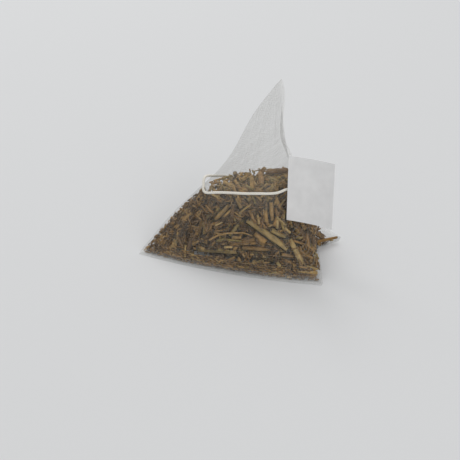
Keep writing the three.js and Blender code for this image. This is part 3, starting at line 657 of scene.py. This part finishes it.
# Leaf stalk: one thin dry stalk that arches over the stems, just under the front face. It
# tapers to one end.
stalk_route = [(-0.36, 0.16), (-0.30, 0.185), (-0.24, 0.20), (-0.16, 0.213), (-0.09, 0.22),
               (0.0, 0.226), (0.07, 0.23), (0.14, 0.226), (0.21, 0.22)]     # x and s
stalk_depth, stalk_radii, stalk_sides = 0.5, (0.32, 0.18), 8
stalk_step = 0.5
stalk_tone = 0.6

stalk_line, _ = smooth_route(
    [pouch_point(x, 1, s, stalk_depth) for x, s in stalk_route], stalk_step)
stalk_points = []
for k, place in enumerate(stalk_line):
    forward = Vector(stalk_line[min(k + 1, len(stalk_line) - 1)] - stalk_line[max(k - 1, 0)])
    turn = forward.to_track_quat("Z", "Y")
    share = k / (len(stalk_line) - 1)
    reach = stalk_radii[0] + (stalk_radii[1] - stalk_radii[0]) * share
    for n in range(stalk_sides):
        angle = 2 * math.pi * n / stalk_sides
        outward = turn @ Vector((math.cos(angle), math.sin(angle), 0))
        stalk_points.append(Vector(place) + outward * reach)
stalk_faces = tube_faces(len(stalk_line), stalk_sides)
leaf_stalk = piece_from("leaf_stalk", stalk_points, stalk_faces, twig)
stalk_tint = [stalk_tone] * len(stalk_points)
leaf_stalk.data.attributes.new("tint", "FLOAT", "POINT").data.foreach_set("value", stalk_tint)
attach(leaf_stalk, "root")


# Loose leaf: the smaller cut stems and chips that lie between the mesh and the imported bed,
# each at its own angle. They are copies of a few plain twigs, joined as one piece.
fill_height, fill_slope = 28.5, 0.08
loose_sizes = [     # how many are tried, least and most radius and length, and the depths
    (1100, (0.5, 0.95), (4.0, 10.0), (0.7, 2.8, 0.4)),
    (2300, (0.3, 0.5), (2.5, 6.0), (0.5, 2.8, 0.4)),
    (4500, (0.15, 0.28), (1.0, 2.8), (0.3, 2.6, 0.4)),
    (3200, (0.12, 0.22), (0.7, 2.0), (0.04, 0.9, 0.11)),
]
thickest_chip = 0.28            # radius under which a piece is a chip, with fewer sides
loose_spots = {     # the share of the tries, and x, y and s on the pouch, a value or a range
    "front": (8, (-0.98, 0.98), 1.0, (0.01, 0.7)),
    "top": (4, (-0.95, 0.97), (-0.4, 0.97), (0.35, 0.95)),
    "right": (4, 1.0, (-0.98, 0.95), (0.1, 0.95)),
    "back": (4, -1.0, (-0.98, 0.7), (0.05, 0.95)),
    "floor": (2, (-0.98, 0.98), -1.0, (0.02, 0.97)),
    "weld": (3, (-0.98, 0.98), (0.2, 1), (0.005, 0.07)),
    "fold": (3, (-1, -0.85), (0.7, 1), (0, 1)),
}
fold_reach, fold_crowding = 0.4, 1.6                    # most s, and how they crowd to the tip
empty_wedge = (-0.75, 0.42)     # under this x and over this s the front face lies empty
corner_twigs = [                # three thin twigs in the rear corner: start, end and radius
    ((24.9, 4.6, 3.2), (31.4, 11.3, 1.8), 0.5), ((25.6, 5.8, 2.0), (26.6, 4.4, 2.7), 0.5),
    ((29.2, 10.2, 1.1), (30.2, 9.0, 1.9), 0.42),
]
loose_lean = 0.12               # of a piece out of the surface, in its own length
seam_spread = 0.15              # of the angles along a weld or a fold
touching = 0.7                  # of a piece's radius is its own, so that neighbours touch
stem_halo = 0.45                # kept free round the big stems, so that they show
stem_cover = 0.6                # of a chip's radius may not lie over a big stem
top_rise, highest = 0.8, 1.4    # of a piece and of its end over the level
top_light_depth, top_light_tint = 2.5, 0.45                         # pieces this near the top get a paler tone: painted top light
chip_tint, twig_tint = 0.7, 1.0                         # the palest of each


def level_at(x):
    """Height of the tea over the floor at x in millimetres."""
    return fill_height - fill_slope * (upright_foot[0] - frame_middle[0] - x)


def room_at(point):
    """Distance from a point in millimetres to the mesh, or less than 0 outside."""
    near, normal, _, gap = skin_tree.find_nearest(Vector(point) * MM)
    return gap / MM * (1 if (near - Vector(point) * MM).dot(normal) > 0 else -1)


def is_inside(point):
    """True where a line up from the point meets the mesh an odd number of times."""
    up, meets = Vector((0.013, 0.008, 1)).normalized(), 0
    near = skin_tree.ray_cast(Vector(point) * MM, up)[0]
    while near is not None:
        meets += 1
        near = skin_tree.ray_cast(near + up * 1e-6, up)[0]
    return meets % 2 == 1


def spot_on(kind):
    """A random x, y and s on one face of the pouch, or beside its front weld or a fold."""
    spot = [luck.uniform(*v) if isinstance(v, tuple) else v for v in loose_spots[kind][1:]]
    if kind == "fold":
        spot[2] = fold_reach * spot[2] ** fold_crowding
    return spot


def surface_at(kind, spot, depth):
    """A place at a depth and two directions along the surface there, in millimetres."""
    x, y, s = spot
    place = pouch_point(x, y, s, depth)
    if kind == "top":
        place[2] = level_at(place[0]) + top_rise - depth
        return place, np.array([1, 0, fill_slope]), np.array([0.0, 1, 0])
    flat_way = kind != "right" and kind != "back"
    aside = pouch_point(x + 0.02 * flat_way, y + 0.02 * (not flat_way), s, depth) - place
    onward = pouch_point(x, y, s + 0.02, depth) - place
    if kind == "fold":
        aside, onward = onward, aside
    aside /= np.linalg.norm(aside)
    onward -= aside * (onward @ aside)
    return place, aside, onward / np.linalg.norm(onward)


def rod_gaps(start, end, others):
    """Distances between a rod's axis and each of the others', at five places of each."""
    shares = np.linspace(0, 1, 5)[:, None]
    mine = start + (end - start) * shares
    theirs = others[:, 0, None] + (others[:, 1] - others[:, 0])[:, None] * shares[None]
    return np.linalg.norm(mine[None, :, None] - theirs[:, None], axis=-1).min((1, 2))


def hides_stem(start, end, radius):
    """True where a rod would lie between the front face and a stem that has to show."""
    shares = np.linspace(0, 1, 9)[:, None]
    mine = (start + (end - start) * shares)[None, :, None]
    starts, ends = front_stems[:, 0], front_stems[:, 1]
    theirs = starts[:, None] + (ends - starts)[:, None] * shares[None]
    apart = mine - theirs[:, None]
    outward = apart @ front_normal
    beside = np.linalg.norm(apart - outward[..., None] * front_normal, axis=-1)
    reach = front_stems[:, 2, 0][:, None, None] + stem_cover * radius
    return ((outward > 0) & (beside < reach)).any()


def is_free(start, end, radius):
    """Inside the mesh, under the level and off the other rods, apart from a light touch."""
    if max(start[2] - level_at(start[0]), end[2] - level_at(end[0])) > highest:
        return False
    middle = (start + end) / 2
    reach = laid_reach[:count] + np.linalg.norm(end - start) / 2 + radius
    near = laid[:count][np.linalg.norm(laid_middles[:count] - middle, axis=1) < reach]
    if len(near) and (rod_gaps(start, end, near) < touching * radius + near[:, 2, 0]).any():
        return False
    if min(room_at(start), room_at(end), room_at(middle)) < radius + mesh_thickness:
        return False
    return not hides_stem(start, end, radius) and is_inside(start) and is_inside(end)


loose_twigs = [carve_twig(f"loose_{k}", 6, 2, 20 + k, 0) for k in range(5)]
leaf_chips = [carve_twig(f"chip_{k}", 5, 1, 40 + k, 0) for k in range(3)]
kinds = [kind for kind, (share, *_) in loose_spots.items() for _ in range(share)]
shown_rods = rods[:front_stem_count] + [
    (a, b, stalk_radii[0]) for a, b in zip(stalk_line[::4], stalk_line[4::4])]
fixed_rods = shown_rods + rods[front_stem_count:]
front_stems = np.array([(start, end, (radius, 0, 0)) for start, end, radius in shown_rods])
# Each row of laid holds a rod's start, its end, and the room it claims with its real radius
laid = np.zeros((len(fixed_rods) + len(corner_twigs) + sum(size[0] for size in loose_sizes), 3, 3))
laid_middles, laid_reach = np.zeros((len(laid), 3)), np.zeros(len(laid))
count = 0


def lay(start, end, radius, room):
    """Adds one rod to those that are laid."""
    global count
    laid[count] = start, end, (room, radius, 0)
    laid_middles[count] = (np.asarray(start) + end) / 2
    laid_reach[count] = math.dist(start, end) / 2 + max(radius, room)
    count += 1


for start, end, radius in fixed_rods:
    lay(start, end, radius, radius + stem_halo)
for start, end, radius in corner_twigs:
    lay(start, end, radius, radius)
for size in loose_sizes:
    tries, radii, lengths, depths = size
    for _ in range(tries):
        kind = kinds[int(luck.integers(len(kinds)))]
        if size is loose_sizes[-1]:
            kind = "weld" if luck.random() < 0.5 else "fold"
        spot = spot_on(kind)
        radius, length = luck.uniform(*radii), luck.uniform(*lengths)
        angle, tilt = luck.uniform(0, math.pi), luck.normal(0, loose_lean)
        if kind in ("weld", "fold"):
            angle = seam_spread * (angle - math.pi / 2)
        if kind == "front" and spot[0] < empty_wedge[0] and spot[2] > empty_wedge[1]:
            continue
        for depth in np.arange(*depths):
            place, aside, onward = surface_at(kind, spot, depth)
            way = aside * math.cos(angle) + onward * math.sin(angle)
            way = way + np.cross(aside, onward) * tilt
            way *= length / 2 / np.linalg.norm(way)
            if is_free(place - way, place + way, radius):
                lay(place - way, place + way, radius, touching * radius)
                break
loose_points, loose_faces, loose_uv, loose_tint, loose_cut = [], [], [], [], []
offset = 0
for k, (start, end, (_, radius, _)) in enumerate(laid[len(fixed_rods):count]):
    models = loose_twigs if radius > thickest_chip else leaf_chips
    model = models[k % len(models)].data
    place = np.array(place_rod(start, end, radius, luck.uniform(0, 6.28)))
    corners = np.array([v.co for v in model.vertices])
    loose_points.append(corners @ place[:3, :3].T + place[:3, 3])
    loose_faces += [[offset + v for v in face.vertices] for face in model.polygons]
    loose_uv += [c for loop in model.uv_layers.active.data for c in loop.uv]
    tone = luck.uniform(0, chip_tint if models is leaf_chips else twig_tint)
    # Painted top light: pieces that reach near the level of the fill get a paler tone
    if min(start[2] - level_at(start[0]), end[2] - level_at(end[0])) > -top_light_depth:
        tone = top_light_tint + (1 - top_light_tint) * tone
    loose_tint += [float(tone)] * len(corners)
    loose_cut += [item.value for item in model.attributes["cut"].data]
    offset += len(corners)
loose_leaf = piece_from("loose_leaf", np.vstack(loose_points), loose_faces, twig)
loose_leaf.data.uv_layers.new(name="UVMap").data.foreach_set("uv", loose_uv)
loose_leaf.data.attributes.new("tint", "FLOAT", "POINT").data.foreach_set("value", loose_tint)
loose_leaf.data.attributes.new("cut", "FLOAT", "POINT").data.foreach_set("value", loose_cut)
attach(loose_leaf, "root")
for model in big_twigs + loose_twigs + leaf_chips:
    bpy.data.objects.remove(model)


# Bed: fine cut leaf and dust, packed by its own weight under the stems. It is a crumbly
# mass of dark brown grains with olive and tan flecks.
merge_gap, grain_step = 0.01, 0.6
crumb_spacing, crumb_height, crumb_level = 1.6, 1.2, 0.75
leaf_grains, leaf_relief = 1.3, 0.4     # to the millimetre, and in millimetres


def leaf_material():
    # Crushed roasted leaf: matt grains of 0.5-1 mm, each with its own tone
    material, tree = new_material("crushed_leaf")
    place = add_node(tree, "ShaderNodeTexCoord")
    grain = add_node(tree, "ShaderNodeTexVoronoi", {
        "Vector": place.outputs["Object"], "Scale": leaf_grains / MM})
    tone = add_node(tree, "ShaderNodeSeparateColor", {"Color": grain.outputs["Color"]})
    colour = add_node(tree, "ShaderNodeValToRGB", {"Fac": tone.outputs[0]})
    set_ramp(colour, [(0.0, "#2c1f10"), (0.35, "#4a3419"), (0.6, "#6b4f29"), (0.8, "#5c5328"),
                      (1.0, "#967846")])
    bump = add_node(tree, "ShaderNodeBump", {
        "Height": grain.outputs["Distance"], "Strength": 0.8, "Distance": leaf_relief * MM})
    shader = add_node(tree, "ShaderNodeBsdfPrincipled", {
        "Base Color": colour.outputs["Color"], "Roughness": 0.85, "Normal": bump.outputs[0]})
    finish_material(tree, shader)
    return material


packed_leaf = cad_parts["tea_bed"].copy()
packed_leaf.data = packed_leaf.data.copy()
packed_leaf.name = "packed_leaf"
bpy.context.collection.objects.link(packed_leaf)
packed_leaf.data.materials.clear()
packed_leaf.data.materials.append(leaf_material())
for key in list(packed_leaf.keys()):
    del packed_leaf[key]
packed_leaf.parent = None
packed_leaf.hide_render = False
merge = packed_leaf.modifiers.new("merge", "WELD")
merge.merge_threshold = merge_gap * MM
remesh = packed_leaf.modifiers.new("grains", "REMESH")
remesh.mode, remesh.voxel_size = "VOXEL", grain_step * MM
crumb = bpy.data.textures.new("crumb", "CLOUDS")
crumb.noise_scale = crumb_spacing * MM
rough = packed_leaf.modifiers.new("rough", "DISPLACE")
rough.texture, rough.strength, rough.mid_level = crumb, crumb_height * MM, crumb_level
apply_modifiers(packed_leaf)
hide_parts("tea_bed")
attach(packed_leaf, "root")


# Floor and light: a pale table, and the soft light of a large window behind and above, with
# a weaker one in front and a plain white room all round.
room_strength = 0.5
lamps = {       # each one's place and size in metres, and its watts
    "window": ((-0.45, 0.55, 0.9), 0.8, 6.2), "fill": ((0.6, -0.7, 0.8), 0.9, 4.4),
}

bpy.context.scene.view_settings.view_transform = "Standard"
floor_material, tree = new_material("pale_table")
floor_shader = add_node(tree, "ShaderNodeBsdfDiffuse", {"Color": linear("#d9dadb")})
finish_material(tree, floor_shader)
bpy.ops.object.select_all(action="DESELECT")
bpy.ops.mesh.primitive_plane_add(size=4)
floor = bpy.context.object
floor.name = "floor"
floor.data.materials.append(floor_material)

world = bpy.data.worlds.new("world")
bpy.context.scene.world = world
world.use_nodes = True
world.node_tree.nodes["Background"].inputs["Color"].default_value = linear("#f6f6f6")
world.node_tree.nodes["Background"].inputs["Strength"].default_value = room_strength
for lamp_name, (place, size, power) in lamps.items():
    lamp_data = bpy.data.lights.new(lamp_name, "AREA")
    lamp_data.size, lamp_data.energy = size, power
    lamp = bpy.data.objects.new(lamp_name, lamp_data)
    lamp.location = place
    lamp.rotation_euler = (-Vector(place)).to_track_quat("-Z", "Y").to_euler()
    bpy.context.collection.objects.link(lamp)
